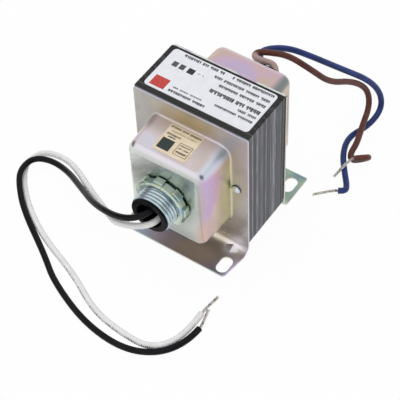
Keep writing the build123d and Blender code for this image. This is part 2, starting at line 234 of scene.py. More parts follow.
def addSurround():
    # Plain white, with a few darker patches that only shiny surfaces show
    world = bpy.data.worlds.new("whiteSurround")
    add = emptyTree(world)
    toward = add("TexCoord").node.outputs["Object"]
    mirrored = 1.0
    for direction, inner, outer, depth in studio["dimPatches"]:
        near = add("VectorMath", [toward, Vector(direction).normalized()], operation="DOT_PRODUCT")
        edges = [math.cos(math.radians(angle)) for angle in (outer, inner)]
        patch = add("MapRange", [near, *edges, 0.0, depth], **smooth)
        mirrored = add("Math", [mirrored, patch], operation="SUBTRACT")
    direct, glossy = seenByCamera(add)
    level = add("Mix", {0: glossy, 2: studio["surround"], 3: mirrored})
    level = add("Mix", {0: direct, 2: level, 3: 1.0})
    sky = add("Background", {"Color": "ffffff", "Strength": level})
    add("OutputWorld", {"Surface": sky})
    bpy.context.scene.world = world


def addSoftBoxes():
    for name, place, size, power in studio["softBoxes"]:
        lamp = bpy.data.lights.new(name, "AREA")
        lamp.size, lamp.energy = size, power
        box = bpy.data.objects.new(name, lamp)
        turn = (Vector(studio["aim"]) - Vector(place)).to_track_quat("-Z", "Y")
        box.matrix_world = Matrix.LocRotScale(Vector(place), turn, None)
        box.visible_glossy = False   # shiny surfaces mirror the white surround alone
        sceneObjects.link(box)


addFloor()
addSurround()
addSoftBoxes()
print("studio lit")

zincFilms = {   # hex tints of each bell's film: top by height, faces and sides by distance from the core
    "front": {
        "top": [(0.00, "bfae96"), (0.06, "bbb0aa"), (0.12, "b4a8b6"), (0.19, "a2b0c2"), (0.32, "c4bcb8"),
                (0.70, "cfc8c2"), (0.80, "d8cac8"), (0.88, "e0d1d3"), (1.00, "dcdcea")],
        "face": [(0.00, "c8c5c0"), (0.12, "c0bab6"), (0.30, "c2bbb6"), (0.60, "cbcdc7"), (0.85, "c6ccc4"),
                 (1.00, "cfd2cf")],
        "side": [(0.00, "d8d1a6"), (0.06, "ded6ae"), (0.11, "e6dcae"), (0.22, "dccdb0"), (0.36, "dec8b8"),
                 (0.50, "dfbfc4"), (0.66, "d2b2d4"), (0.82, "ccacd3"), (1.00, "c5b2ce")],
        # roll: a painted highlight on the rolled front edge; corner: a painted bluish-white reflection on the
        # rounded edge between top and side
        "roll": "e6e1ea", "corner": "d3dbe9", "left": "dccb9c", "edge": "ddd3de",
        "stains": [   # places of another tint, film tints and painted light alike: middle and half sizes in mm, hex
            ((17.5, -3.0, 77.5), (3.5, 26.0, 7.0), "d0c3a4"),   # above the cup
            ((39.4, -24.0, 50.0), (6.0, 20.0, 32.0), "eaeee8"),   # left of the hub: a painted paler reflection
            ((39.4, 0.0, 45.4), (5.0, 24.0, 24.0), "8d9a8a"),   # round the hub: a painted reflection and shade of the nut
            ((39.4, 8.0, 19.0), (6.0, 24.0, 15.0), "a9aea9"),   # below the hub: a painted darker reflection
            ((37.0, 22.0, 28.0), (9.0, 9.0, 17.0), "d4bab1"),   # the cup's lower right edge
            ((39.2, 22.2, 50.0), (3.2, 5.0, 24.0), "c2b5ae"),   # its upper right edge
            ((30.5, 31.0, 1.0), (10.0, 6.5, 4.0), "e6dcfa"),   # the foot's right end
            ((20.5, 24.0, 3.0), (6.5, 8.5, 4.5), "f8f4fc"),   # the right gusset: a painted highlight
            ((19.5, 6.0, 4.0), (4.0, 24.0, 5.5), "efe4c4"),   # the bend: a painted highlight
            ((31.0, 8.0, 1.0), (9.0, 18.0, 4.0), "e0ccbc")]},   # the foot
    "rear": {
        "top": [(0.00, "b6c8a8"), (0.08, "a6c0b2"), (0.14, "9ab4b0"), (0.22, "8fa8b4"), (0.60, "cfc4ba"),
                (0.80, "d2b8b2"), (0.88, "d0b6cc"), (0.94, "c6b6d4"), (0.99, "dfe6e2")],
        "face": [(0.00, "cbc8c2"), (0.50, "c8c4c0"), (1.00, "cdcfcd")],
        "side": [(0.00, "dfe2dc"), (0.10, "e0dcc8"), (0.30, "dccfb8"), (0.60, "d8c8ac"), (1.00, "d8c4b8")],
        # roll: a painted highlight on the rolled front edge; corner: a painted dark reflection on the rounded
        # edge between top and side
        "roll": "d6c2cc", "corner": "7c8382", "left": "cdb8d2", "edge": "d9d6cc",
        "stains": [((-16.7, 4.0, 77.0), (3.5, 26.0, 7.0), "d4c496")]},
}
filmForm = {   # lengths in mm, shifts as shares of a ramp; a pair runs from none of an effect to all of it
    "coreMiddle": 0.37, "patch": 16.0, "wave": 9.0, "drift": 0.13,
    "topSpan": (-8.0, 83.0), "faceSpan": (16.0, 40.0), "sideSpan": (15.8, 39.0),
    "leanHeights": (20.0, 70.0), "lean": (-0.20, 0.14),
    "facing": (0.25, 0.85), "facingLeft": (-0.25, -0.70), "slant": (0.05, 0.56),
    "rolledEdge": (34.5, 38.0), "footTop": 12.0, "cutEdge": (30.0, 31.2), "stainFade": (1.0, 0.25),
    "flangeHeights": (25.0, 60.0), "flangeRoughness": (0.28, 0.46), "wallSpan": (19.0, 30.0),
    "wallRoughness": 0.27, "footHeights": (1.0, 3.0), "footRoughness": 0.46,
    "unevenness": 0.03, "dentStrength": 0.05, "dentDepth": 0.4,
}


def fromCore(add, place):
    # Distance along X from the plane halfway between the bells
    x = add("SeparateXYZ", [place]).node.outputs["X"]
    offset = add("Math", [x, filmForm["coreMiddle"] * mm], operation="SUBTRACT")
    return add("Math", [offset], operation="ABSOLUTE")


def chromatedZinc(add, coordinates, film):
    # Zinc plate under clear chromate: a satin mirror whose thin film drifts from gold by the flange to pink
    # and violet along the side walls, grey-green on the faces and lilac on top
    form = filmForm
    place = coordinates["Object"]
    at = add("SeparateXYZ", [place]).node.outputs
    facing = add("SeparateXYZ", [coordinates["Normal"]]).node.outputs
    outward = fromCore(add, place)
    patches = add("TexNoise", {
        "Vector": place, "Scale": 1 / (form["patch"] * mm), "Detail": 2.0, "Roughness": 0.4,
        "Distortion": 0.5})
    drift = add("MapRange", [patches, *noiseSpan, -form["drift"], form["drift"]])
    # the side walls' bands lean, so that higher up each tint lies nearer the flange
    lean = add("MapRange", [at["Z"], *metres(form["leanHeights"]), *form["lean"]])
    tints = {}
    for row, along in (("top", at["Z"]), ("face", outward), ("side", outward)):
        along = add("MapRange", [along, *metres(form[row + "Span"])])
        along = add("Math", [along, drift], operation="ADD")
        if row == "side":
            along = add("Math", [along, lean], operation="ADD")
        tints[row] = add("ValToRGB", [along], film[row])
    upward = add("MapRange", [facing["Z"], *form["facing"]], **smooth)
    sideways = add("Math", [facing["Y"]], operation="ABSOLUTE")
    sideways = add("MapRange", [sideways, *form["facing"]], **smooth)
    # the rolled front edge is painted paler, a painted highlight, and the rounded edge between top and side
    # takes a painted reflection; the left wall and the flange's cut edge have tints of their own
    rollHighlight = add("MapRange", [outward, *metres(form["rolledEdge"])], **smooth)
    aboveFoot = add("Math", [at["Z"], form["footTop"] * mm], operation="GREATER_THAN")
    rollHighlight = add("Math", [rollHighlight, aboveFoot], operation="MULTIPLY")
    leftward = add("MapRange", [facing["Y"], *form["facingLeft"]], **smooth)
    edgeReflectionMask = add("Math", [facing["Z"], facing["Y"]], operation="MULTIPLY")
    edgeReflectionMask = add("MapRange", [edgeReflectionMask, *form["slant"]], **smooth)
    halfWidth = add("Math", [at["Y"]], operation="ABSOLUTE")
    cutEdge = add("MapRange", [halfWidth, *metres(form["cutEdge"])])
    top = add("Mix", {0: rollHighlight, 6: tints["top"], 7: film["roll"]}, **coloured)
    side = add("Mix", {0: leftward, 6: tints["side"], 7: film["left"]}, **coloured)
    side = add("Mix", {0: cutEdge, 6: side, 7: film["edge"]}, **coloured)
    colour = add("Mix", {0: sideways, 6: tints["face"], 7: side}, **coloured)
    colour = add("Mix", {0: upward, 6: colour, 7: top}, **coloured)
    colour = add("Mix", {0: edgeReflectionMask, 6: colour, 7: film["corner"]}, **coloured)
    # patches of film tint, and of painted reflection, highlight and shade
    for middle, reach, code in film["stains"]:
        away = add("Mapping", {
            "Vector": place, "Location": metres(middle), "Scale": metres(reach)}, vector_type="TEXTURE")
        away = add("VectorMath", [away], operation="LENGTH")
        tintPatchMask = add("MapRange", [away, *form["stainFade"]], **smooth)
        colour = add("Mix", {0: tintPatchMask, 6: colour, 7: code}, **coloured)
    # the flat flange and feet are duller than the stretched walls of the cup
    flange = add("MapRange", [at["Z"], *metres(form["flangeHeights"]), *form["flangeRoughness"]])
    gloss = add("MapRange", [outward, *metres(form["wallSpan"]), flange, form["wallRoughness"]])
    foot = add("MapRange", [at["Z"], *metres(form["footHeights"]), form["footRoughness"], 0.0])
    gloss = add("Math", [gloss, foot], operation="MAXIMUM")
    waves = add("TexNoise", {"Vector": place, "Scale": 1 / (form["wave"] * mm), "Detail": 1.0})
    uneven = add("MapRange", [waves, *noiseSpan, -form["unevenness"], form["unevenness"]])
    gloss = add("Math", [gloss, uneven], operation="ADD")
    dents = add("Bump", {
        "Height": waves, "Strength": form["dentStrength"], "Distance": form["dentDepth"] * mm})
    return {"Base Color": colour, "Metallic": 1.0, "Roughness": gloss, "Normal": dents}


rivetForm = {   # mm from the core's middle, and the patch of a scuff
    "rim": 16.9, "crown": 18.0, "scuff": 0.9, "roughness": (0.12, 0.30),
    # from painted shade at the rim, where the head meets the sheet, to bright steel on the crown
    "tints": [(0.0, "2a2d30"), (0.30, "4f565c"), (0.55, "aab4ba"), (1.0, "d8dfe4")],
}


def rivetSteel(add, coordinates):
    # Peened rivet: bright on the crown, with scuffed gloss, and darkened towards its rim where it meets the
    # sheet: painted shade
    place = coordinates["Object"]
    scuffs = add("TexNoise", {"Vector": place, "Scale": 1 / (rivetForm["scuff"] * mm)})
    span = metres([rivetForm["rim"], rivetForm["crown"]])
    height = add("MapRange", [fromCore(add, place), *span])
    tint = add("ValToRGB", [height], rivetForm["tints"])
    gloss = add("MapRange", [scuffs, 0.0, 1.0, *rivetForm["roughness"]])
    return {"Base Color": tint, "Metallic": 1.0, "Roughness": gloss}


plasticForm = {"cloud": 6.0, "uneven": (-0.06, 0.08), "ior": 1.52}
sheetForm = {"uneven": (-0.05, 0.07), "ior": 1.48}


def mouldedPlastic(add, coordinates, low, high, roughness, shine=0.5, bloom=None):
    # Moulded plastic or PVC: an even, faintly clouded colour and a satin skin; a paler spot round one point
    # is a painted sheen
    form = plasticForm
    place = coordinates["Object"]
    cloud = add("TexNoise", {"Vector": place, "Scale": 1 / (form["cloud"] * mm), "Detail": 3.0})
    colour = add("ValToRGB", [cloud], list(zip(noiseSpan, (low, high))))
    # a painted sheen, paler round one point
    if bloom:
        point, inner, outer, code = bloom
        away = add("VectorMath", [place, metres(point)], operation="DISTANCE")
        paintedSheen = add("MapRange", [away, *metres([inner, outer]), 1.0, 0.0], **smooth)
        colour = add("Mix", {0: paintedSheen, 6: colour, 7: code}, **coloured)
    gloss = add("MapRange", [cloud, 0.0, 1.0, *(roughness + change for change in form["uneven"])])
    return {"Base Color": colour, "Roughness": gloss, "IOR": form["ior"], "Specular IOR Level": shine}


def layeredSheet(add, coordinates, low, high, roughness, fibre, stretch=(1, 1, 1)):
    # Label stock, paper, tape or ink: matt to satin, with faint fibres (mm) or rolling lines in one direction
    form = sheetForm
    drawn = add("Mapping", {"Vector": coordinates["Object"], "Scale": stretch})
    fibres = add("TexNoise", {"Vector": drawn, "Scale": 1 / (fibre * mm), "Detail": 4.0})
    tint = add("ValToRGB", [fibres], list(zip(noiseSpan, (low, high))))
    gloss = add("MapRange", [fibres, 0.0, 1.0, *(roughness + change for change in form["uneven"])])
    return {"Base Color": tint, "Roughness": gloss, "IOR": form["ior"]}


windingForm = {   # wire and relief in mm
    "wire": 0.5, "waver": 0.3, "relief": 0.2, "reliefStrength": 0.6, "metallic": 0.8, "roughness": 0.3,
    # dark between turns, bright on their crowns: painted shade and highlight
    "tints": [(0.1, "5a2a12"), (0.6, "b4622e"), (0.95, "d08a4c")],
}


def woundCopper(add, coordinates):
    # Enamelled magnet wire in close layers: copper turns side by side, with amber enamel on them; each turn
    # is painted darker at its sides and paler along its crown, painted shade and highlight
    form = windingForm
    scale = math.pi / 10 / (form["wire"] * mm)   # one band of the wave to each turn
    turns = add("TexWave", {"Vector": coordinates["Object"], "Scale": scale, "Distortion": form["waver"]},
                bands_direction="Y", wave_profile="SIN").node.outputs["Fac"]
    tint = add("ValToRGB", [turns], form["tints"])
    relief = add("Bump", {
        "Height": turns, "Strength": form["reliefStrength"], "Distance": form["relief"] * mm})
    return {
        "Base Color": tint, "Metallic": form["metallic"], "Roughness": form["roughness"], "Normal": relief}


def dressNodes():
    bushingNylon = newMaterial("blackNylon", mouldedPlastic, "090a0c", "0f0f12", 0.32, 0.06)
    sleeveGlass = newMaterial("varnishedGlassSleeving", mouldedPlastic, "cfcabd", "ded9cc", 0.55)
    magnetWire = newMaterial("enamelledCopperWire", woundCopper)
    finishes = {
        "front_bell": newMaterial("clearChromatedZincFront", chromatedZinc, zincFilms["front"]),
        "rear_bell": newMaterial("clearChromatedZincRear", chromatedZinc, zincFilms["rear"]),
        "rivets": newMaterial("peenedRivetSteel", rivetSteel),
        "hub_bushing": bushingNylon, "rear_bushing": bushingNylon,
        "bobbin": newMaterial("glassFilledNylon", mouldedPlastic, "262422", "332f2c", 0.5),
        "primary_winding": magnetWire, "secondary_winding": magnetWire,
        "interlayer_wrap": newMaterial("kraftPaper", layeredSheet, "8f7247", "b3945f", 0.7, 3.0, (1, 0.2, 1)),
        "outer_wrap": newMaterial("polyesterTape", layeredSheet, "c9a94f", "dcc06a", 0.3, 4.0, (1, 0.3, 1)),
        "primary_sleeves": sleeveGlass, "secondary_sleeves": sleeveGlass,
        "rating_label": newMaterial("whiteLabelVinyl", layeredSheet, "e9ebf1", "f1f3f8", 0.42, 4.0),
        "front_label": newMaterial(
            "goldTintedLabelFoil", layeredSheet, "dfccab", "f0e1c8", 0.36, 3.0, (1, 0.25, 1)),
    }
    for name, material in finishes.items():
        nodes[name].data.materials.clear()
        nodes[name].data.materials.append(material)
    print("CAD pieces dressed:", len(finishes))


dressNodes()

hub = {"axisZ": 45.4, "bellFace": 39.46}   # mm
brightForm = {"roughness": (0.17, 0.29)}


def brightZinc(add, coordinates, stops, patch, grime=None):
    # Clear-passivated zinc, or tin: silver with blooms of other tints, each about a patch (mm) wide; painted
    # shade darkens it where the distance from the hub's axis nears the first of its radii, as in the roots of
    # a thread
    place = coordinates["Object"]
    bloom = add("TexNoise", {
        "Vector": place, "Scale": 1 / (patch * mm), "Detail": 2.0, "Distortion": 0.4})
    colour = add("ValToRGB", [bloom], stops)
    if grime:
        root, crest, code = grime
        offset = add("VectorMath", [place, (0, 0, hub["axisZ"] * mm)], operation="SUBTRACT")
        offset = add("VectorMath", [offset, (0, 1, 1)], operation="MULTIPLY")
        radius = add("VectorMath", [offset], operation="LENGTH")
        unshaded = add("MapRange", [radius, *metres([root, crest])])
        colour = add("Mix", {0: unshaded, 6: code, 7: colour}, **coloured)
    gloss = add("MapRange", [bloom, 0.0, 1.0, *brightForm["roughness"]])
    return {"Base Color": colour, "Metallic": 1.0, "Roughness": gloss}


# Each lead follows its own spline, and ends in bare twisted strands
leads = {   # control points in mm, from the sleeve on the coil to the cut end, then the bare tip
    "black": {
        "exit": (52.9, -0.2, 48.1), "length": 320.9, "tip": (56.6, 34.6, 0.95), "route": [
            (29.6, 1.5, 59.5), (29.6, 1.5, 48.5), (43.0, 1.9, 48.9), (56.5, -0.8, 48.0),
            (59.3, -12.4, 42.0), (53.4, -32.4, 32.5), (40.9, -51.1, 19.5), (28.5, -70.5, 7.8),
            (25.3, -84.4, 4.8), (29.5, -93.1, 5.3), (39.1, -93.5, 5.8), (46.6, -89.0, 5.1),
            (57.8, -77.3, 2.5), (73.6, -51.8, 1.6), (84.5, -37.1, 1.6), (96.3, -7.9, 1.6),
            (97.1, 19.2, 1.6), (82.6, 36.5, 1.6), (68.3, 37.3, 1.6)]},
    "white": {
        "exit": (52.9, 2.4, 42.0), "length": 328.8, "tip": (47.3, 34.4, 0.95), "route": [
            (29.6, 4.2, 32.0), (29.6, 4.2, 43.0), (43.0, 4.4, 43.2), (55.9, 2.3, 41.8), (59.4, -14.7, 36.2),
            (52.5, -25.6, 30.0), (40.1, -46.3, 20.5), (27.6, -63.5, 10.0), (19.4, -78.3, 3.2),
            (20.0, -92.2, 1.6), (27.7, -96.3, 1.6), (36.2, -94.6, 1.6), (49.9, -82.7, 1.6),
            (64.5, -61.2, 1.6), (75.4, -31.8, 1.6), (87.2, -11.4, 1.6), (90.5, 8.4, 1.6), (90.0, 25.1, 1.6),
            (76.0, 33.9, 1.6), (60.5, 33.3, 1.6)]},
    "blue": {
        "exit": (-42.2, 4.0, 58.0), "length": 196.0, "tip": (-30.6, 39.3, 0.95), "route": [
            (-28.87, 4.8, 46.5), (-28.87, 4.8, 57.5), (-41.0, 5.3, 58.2), (-47.6, -0.9, 57.0),
            (-53.8, -7.8, 55.9), (-59.6, -7.7, 55.6), (-66.8, 1.3, 55.0), (-73.5, 11.4, 48.5),
            (-84.7, 22.6, 36.0), (-96.8, 32.6, 23.0), (-101.3, 38.2, 12.0), (-97.5, 41.3, 4.5),
            (-86.0, 40.2, 1.7), (-74.0, 35.2, 1.6), (-62.1, 38.5, 1.6), (-51.2, 46.3, 1.6),
            (-45.0, 51.2, 1.6), (-41.2, 52.6, 1.6), (-39.6, 49.2, 1.6)]},
    "brown": {
        "exit": (-42.2, 9.5, 59.6), "length": 186.3, "tip": (-46.0, 42.7, 1.6), "route": [
            (-28.87, 9.8, 48.0), (-28.87, 9.8, 59.0), (-40.3, 9.3, 59.3), (-45.6, 7.6, 60.3),
            (-48.4, 4.3, 60.9), (-47.5, -0.6, 61.2), (-46.8, -6.3, 61.2), (-50.8, -7.1, 61.2),
            (-53.7, -1.7, 61.2), (-58.8, 6.2, 59.2), (-63.0, 16.8, 51.5), (-70.7, 23.9, 39.0),
            (-86.6, 28.0, 28.5), (-95.9, 32.6, 17.5), (-92.9, 36.6, 9.5), (-79.6, 39.6, 6.2),
            (-70.3, 42.3, 4.6), (-63.2, 42.4, 2.6), (-60.5, 44.9, 1.6), (-64.9, 49.6, 1.6),
            (-65.6, 52.3, 4.0), (-62.8, 52.2, 6.5), (-60.6, 49.7, 6.8), (-58.6, 47.1, 6.5)]},
}
leadForm = {"diameter": 3.2, "resolution": 10, "rimSteps": 8, "bareStraight": 2.5}
leadVinyl = {
    "black": newMaterial("blackVinylInsulation", mouldedPlastic, "101114", "18191c", 0.30, 0.11),
    "white": newMaterial("whiteVinylInsulation", mouldedPlastic, "efefef", "f9f8f8", 0.45, 0.3),
    "blue": newMaterial("blueVinylInsulation", mouldedPlastic, "172c60", "20397c", 0.34, 0.34),
    # the brown lead's loop by the rear bushing is painted paler: a painted sheen
    "brown": newMaterial("brownVinylInsulation", mouldedPlastic, "4c251d", "67372d", 0.38, 0.32,
                         ((-20.0, 0.0, 61.0), 28.4, 30.8, "b09590")),
}
leadMarks = {   # faint printed bars: where each group starts and ends along the white lead, in mm
    "groups": [
        (230.5, 240.5), (244.7, 253.7), (257.9, 267.1), (270.7, 278.1), (282.4, 288.2), (291.4, 297.0)],
    "bar": 0.42, "narrowest": 0.6, "spread": 0.8, "pitch": 0.95, "turn": 62, "height": 40, "shortest": 0.5,
    "raise": 0.02, "sink": 0.05, "ahead": 0.2, "arcSteps": 4, "seed": 3,
}
markInk = newMaterial("leadMarkingInk", layeredSheet, "6b645f", "857e78", 0.5, 0.8)
strandForm = {   # mm, but for fray's start and ragged, which are shares of the bare length
    "radius": 0.22, "ring": 0.52, "outer": 5, "inner": 1, "innerRing": 0.0, "lay": 10.0,
    "fray": 0.16, "frayStart": 0.375, "ragged": 0.08, "rimSteps": 8, "steps": 64, "crease": 60, "seed": 11,
}
tinnedCopper = newMaterial(   # dark flecks are painted shade standing for the gaps between strands, which are too fine to show
    "tinnedCopperStrand", brightZinc,
    [(0.36, "8a8378"), (0.46, "e0dcd6"), (0.58, "eeebe6"), (0.68, "9c9386")], 1.6)


def splineCurve(name, points, bevel):
    # A NURBS spline of order 3 through its end points, with the points (mm) as its control points
    curve = bpy.data.curves.new(name, "CURVE")
    curve.dimensions = "3D"
    curve.resolution_u = leadForm["resolution"]
    spline = curve.splines.new("NURBS")
    spline.points.add(len(points) - 1)
    weighted = np.column_stack([np.array(points) * mm, np.ones(len(points))])
    spline.points.foreach_set("co", weighted.ravel())
    spline.order_u = 3
    spline.use_endpoint_u = True
    if bevel:
        curve.bevel_depth = bevel * mm
        curve.bevel_resolution = leadForm["rimSteps"]
        curve.use_fill_caps = True
    return bpy.data.objects.new(name, curve)


def splinePoints(points):
    # The spline's own line, read from it as a mesh, in mm
    guide = splineCurve("strandGuide", points, 0)
    mesh = bpy.data.meshes.new_from_object(guide)
    line = np.empty(len(mesh.vertices) * 3)
    mesh.vertices.foreach_get("co", line)
    bpy.data.meshes.remove(mesh)
    curve = guide.data
    bpy.data.objects.remove(guide)
    bpy.data.curves.remove(curve)
    return line.reshape(-1, 3) / mm


def distances(line):
    # How far along the line each of its points lies
    return np.concatenate([[0], np.cumsum(np.linalg.norm(np.diff(line, axis=0), axis=1))])


def placesAlong(line, distance):
    return np.stack([np.interp(distance, distances(line), line[:, k]) for k in range(3)], -1)


def squareTo(along):
    # Two unit vectors square to each direction: one level, and one above it
    along = along / np.linalg.norm(along, axis=-1, keepdims=True)
    side = np.cross(along, (0, 0, 1))
    side /= np.linalg.norm(side, axis=-1, keepdims=True)
    return side, np.cross(side, along)


def twistedStrands(colour, line, draw):
    # Each strand is a tube whose centre winds round the line: its angle grows evenly with distance, one turn
    # for each lay length, and its distance from the line grows near the tip, where the strands spring apart
    form = strandForm
    strands = form["outer"] + form["inner"]
    reach = distances(line)[-1] * (1 - form["ragged"] * draw.random(strands))
    share = np.linspace(0, 1, form["steps"])
    distance = reach[:, None] * share
    centre = placesAlong(line, distance)
    side, above = squareTo(np.gradient(centre, axis=1))
    index = np.arange(strands)
    isOuter = index < form["outer"]
    first = np.where(isOuter, index / form["outer"], index / form["inner"]) * 2 * np.pi
    ring = np.where(isOuter, form["ring"], form["innerRing"])
    sprung = np.clip((share - form["frayStart"]) / (1 - form["frayStart"]), 0, 1) ** 2
    out = (ring[:, None] + form["fray"] * draw.random(strands)[:, None] * sprung)[..., None]
    angle = (first[:, None] + 2 * np.pi * distance / form["lay"])[..., None]
    centre = centre + out * (np.cos(angle) * side + np.sin(angle) * above)
    rim = np.linspace(0, 2 * np.pi, form["rimSteps"], endpoint=False)
    spoke = np.cos(rim)[:, None] * side[:, :, None, :] + np.sin(rim)[:, None] * above[:, :, None, :]
    points = centre[:, :, None, :] + form["radius"] * spoke
    tube = gridFaces(form["steps"], form["rimSteps"], wrapColumns=True)
    tube = facingOut(points[0].reshape(-1, 3), tube)
    caps = endCaps(tube, form["rimSteps"], form["steps"])
    size = form["steps"] * form["rimSteps"]
    faces = [face for k in range(strands) for face in (tube + k * size).tolist()]
    faces += [(cap + k * size).tolist() for k in range(strands) for cap in caps]
    return putPiece(f"{colour}BareEnd", points, faces, tinnedCopper, [f"{colour}_lead_end"],
                    form["crease"])


def printedLead(name, line):
    # Each bar is a thin curved plate: an arc just above the lead's skin and back below it, carried from the
    # bar's start to its end along the lead; turn is counted from straight up
    form, radius = leadMarks, leadForm["diameter"] / 2
    draw = np.random.default_rng(form["seed"])
    starts = np.concatenate([np.arange(start, end, form["pitch"]) for start, end in form["groups"]])
    lengths = form["bar"] * (form["narrowest"] + form["spread"] * draw.random(len(starts)))
    distance = np.stack([starts, starts + lengths], -1)
    centre = placesAlong(line, distance)
    side, above = squareTo(placesAlong(line, distance + form["ahead"]) - centre)
    height = form["height"] * (form["shortest"] + (1 - form["shortest"]) * draw.random(len(starts)))
    share = np.linspace(0, 1, form["arcSteps"])
    angle = np.radians(form["turn"] + form["height"] / 2 - height[:, None] * share)
    angle = np.concatenate([angle, angle[:, ::-1]], 1)[:, None, :, None]
    reach = np.repeat([radius + form["raise"], radius - form["sink"]], form["arcSteps"])[:, None]
    spoke = np.cos(angle) * above[:, :, None] + np.sin(angle) * side[:, :, None]
    points = centre[:, :, None] + reach * spoke
    loop = 2 * form["arcSteps"]
    walls = facingOut(points[0].reshape(-1, 3) - centre[0, 0], gridFaces(2, loop, wrapColumns=True))
    caps = endCaps(walls, loop, 2)
    faces = []
    for base in range(0, len(starts) * 2 * loop, 2 * loop):
        faces += (walls + base).tolist() + [(cap + base).tolist() for cap in caps]
    return putPiece(name, points, faces, markInk)


def addLeads():
    draw = np.random.default_rng(strandForm["seed"])
    for colour, lead in leads.items():
        cord = splineCurve(f"{colour}Lead", lead["route"], leadForm["diameter"] / 2)
        cord.data.materials.append(leadVinyl[colour])
        settle(cord, [f"{colour}_lead"])
        cut = np.array(lead["route"][-1])
        lastRun = cut - np.array(lead["route"][-2])
        knee = cut + lastRun / np.linalg.norm(lastRun) * leadForm["bareStraight"]
        carried = [twistedStrands(colour, splinePoints([cut, knee, lead["tip"]]), draw)]
        if colour == "white":
            carried.append(printedLead("whiteLeadMarks", splinePoints(lead["route"])))
        [v * mm for v in lead["exit"]]


addLeads()
print("leads laid:", ", ".join(leads))

# The core is of single sheets, each a little out of line with its neighbours
laminations = {   # mm
    "sheet": 0.66, "perPacket": 4, "packets": 12, "rear": -15.47, "base": 7.3, "width": 63.5, "height": 76.2,
    "limb": 12.7, "tongue": 25.4, "gap": 0.02, "chamfer": 0.07, "unevenness": 0.07, "rearSetIn": 1.3,
    "rivetHole": 2.1, "holeSteps": 24, "crease": 20, "seed": 5,
}
varnish = {   # streak sizes, dark rear stretch and ridges in mm
    "streaks": (0.5, 3.0, 12.0), "darkRear": 9.0, "rearShift": (-0.32, 0.03), "upFacing": (0.5, 0.8),
    "roughness": (0.36, 0.58), "metallic": 0.35, "ridge": 0.08, "ridgeStrength": 0.2,
    "edge": [(0.15, "2c2d30"), (0.40, "515257"), (0.58, "6c6d74"), (0.72, "8f9098"), (0.85, "c2c3ca")],
    "top": [(0.20, "131211"), (0.45, "201f1d"), (0.60, "2b2927"), (0.80, "4a4845")],
}


def varnishedSteel(add, coordinates):
    # Punched silicon steel dipped in thin black varnish: each sheet's cut edge has its own grey, with fine
    # shear lines across it, and the flat top is nearly black
    form, rear = varnish, laminations["rear"] * mm
    x = add("SeparateXYZ", [coordinates["Object"]]).node.outputs["X"]
    facingZ = add("SeparateXYZ", [coordinates["Normal"]]).node.outputs["Z"]
    along = add("Math", [x, rear], operation="SUBTRACT")
    count = add("Math", [along, laminations["sheet"] * mm], operation="DIVIDE")
    sheet = add("Math", [count], operation="FLOOR")
    shade = add("TexWhiteNoise", {"W": sheet}, noise_dimensions="1D")
    stretched = add("Mapping", {
        "Vector": coordinates["Object"], "Scale": [1 / size for size in metres(form["streaks"])]})
    streaks = add("TexNoise", {"Vector": stretched, "Scale": 1.0, "Detail": 4.0})
    both = add("Mix", {0: 0.5, 2: shade, 3: streaks})
    rearward = add("MapRange", [x, rear, rear + form["darkRear"] * mm, *form["rearShift"]])
    both = add("Math", [both, rearward], operation="ADD")
    edge, top = (add("ValToRGB", [both], form[row]) for row in ("edge", "top"))
    upward = add("MapRange", [facingZ, *form["upFacing"]])
    colour = add("Mix", {0: upward, 6: edge, 7: top}, **coloured)
    gloss = add("MapRange", [streaks, 0.0, 1.0, *form["roughness"]])
    ridges = add("Bump", {
        "Height": streaks, "Strength": form["ridgeStrength"], "Distance": form["ridge"] * mm})
    return {"Base Color": colour, "Metallic": form["metallic"], "Roughness": gloss, "Normal": ridges}


def sheetOutline(points, hole):
    # Outer corners and the rivet hole's rim, each loop with the directions that set it in for the chamfer
    corners = np.array(points, float)
    before = corners - np.roll(corners, 1, axis=0)
    after = np.roll(corners, -1, axis=0) - corners
    inward = [np.stack([-v[:, 1], v[:, 0]], -1) / np.linalg.norm(v, axis=1, keepdims=True)
              for v in (before, after)]
    turn = np.linspace(0, 2 * np.pi, laminations["holeSteps"], endpoint=False)
    spoke = np.stack([np.cos(turn), -np.sin(turn)], -1)
    rim = np.array(hole) + laminations["rivetHole"] * spoke
    return [(corners, inward[0] + inward[1]), (rim, spoke)]


def stackSheets(name, outlines, starts, shifts, material, node):
    # A sheet is its outline carried along X in four steps: set in, full, full, set in; an outline's sheets
    # are worked out together, and a sheet's end faces are the outline's own triangles
    thickness = laminations["sheet"] - laminations["gap"]
    inset = laminations["chamfer"]
    steps = np.array([(0, inset), (inset, 0), (thickness - inset, 0), (thickness, inset)])
    allPoints, faces, base = [], [], 0
    for loops, chosen in outlines:
        flat = np.concatenate([loop for loop, _ in loops])
        inward = np.concatenate([direction for _, direction in loops])
        yz = flat + steps[:, 1][:, None, None] * inward
        yz = yz[None] + shifts[chosen][:, None, None, :]
        x = np.broadcast_to((starts[chosen][:, None] + steps[:, 0])[..., None], yz.shape[:-1])
        points = np.concatenate([x[..., None], yz], -1)
        perStep = len(flat)
        first, walls = 0, []
        for loop, _ in loops:
            walls.append(first + gridFaces(len(steps), len(loop), wrapColumns=True, stride=perStep))
            first += len(loop)
        walls = np.concatenate(walls)
        caps = np.array(tessellate_polygon([[Vector((*p, 0)) for p in loop] for loop, _ in loops]))
        edgeA, edgeB = flat[caps[:, 1]] - flat[caps[:, 0]], flat[caps[:, 2]] - flat[caps[:, 0]]
        turned = edgeA[:, 0] * edgeB[:, 1] - edgeA[:, 1] * edgeB[:, 0] < 0
        caps[turned] = caps[turned][:, ::-1]   # now every triangle turns from Y towards Z, so it faces +X
        ends = np.concatenate([caps[:, ::-1], caps + perStep * (len(steps) - 1)])
        sheetSize = perStep * len(steps)
        for k in range(len(points)):
            faces += (walls + base + k * sheetSize).tolist()
            faces += (ends + base + k * sheetSize).tolist()
        base += points.shape[0] * sheetSize
        allPoints.append(points.reshape(-1, 3))
    putPiece(name, np.concatenate(allPoints), faces, material, [node], laminations["crease"])


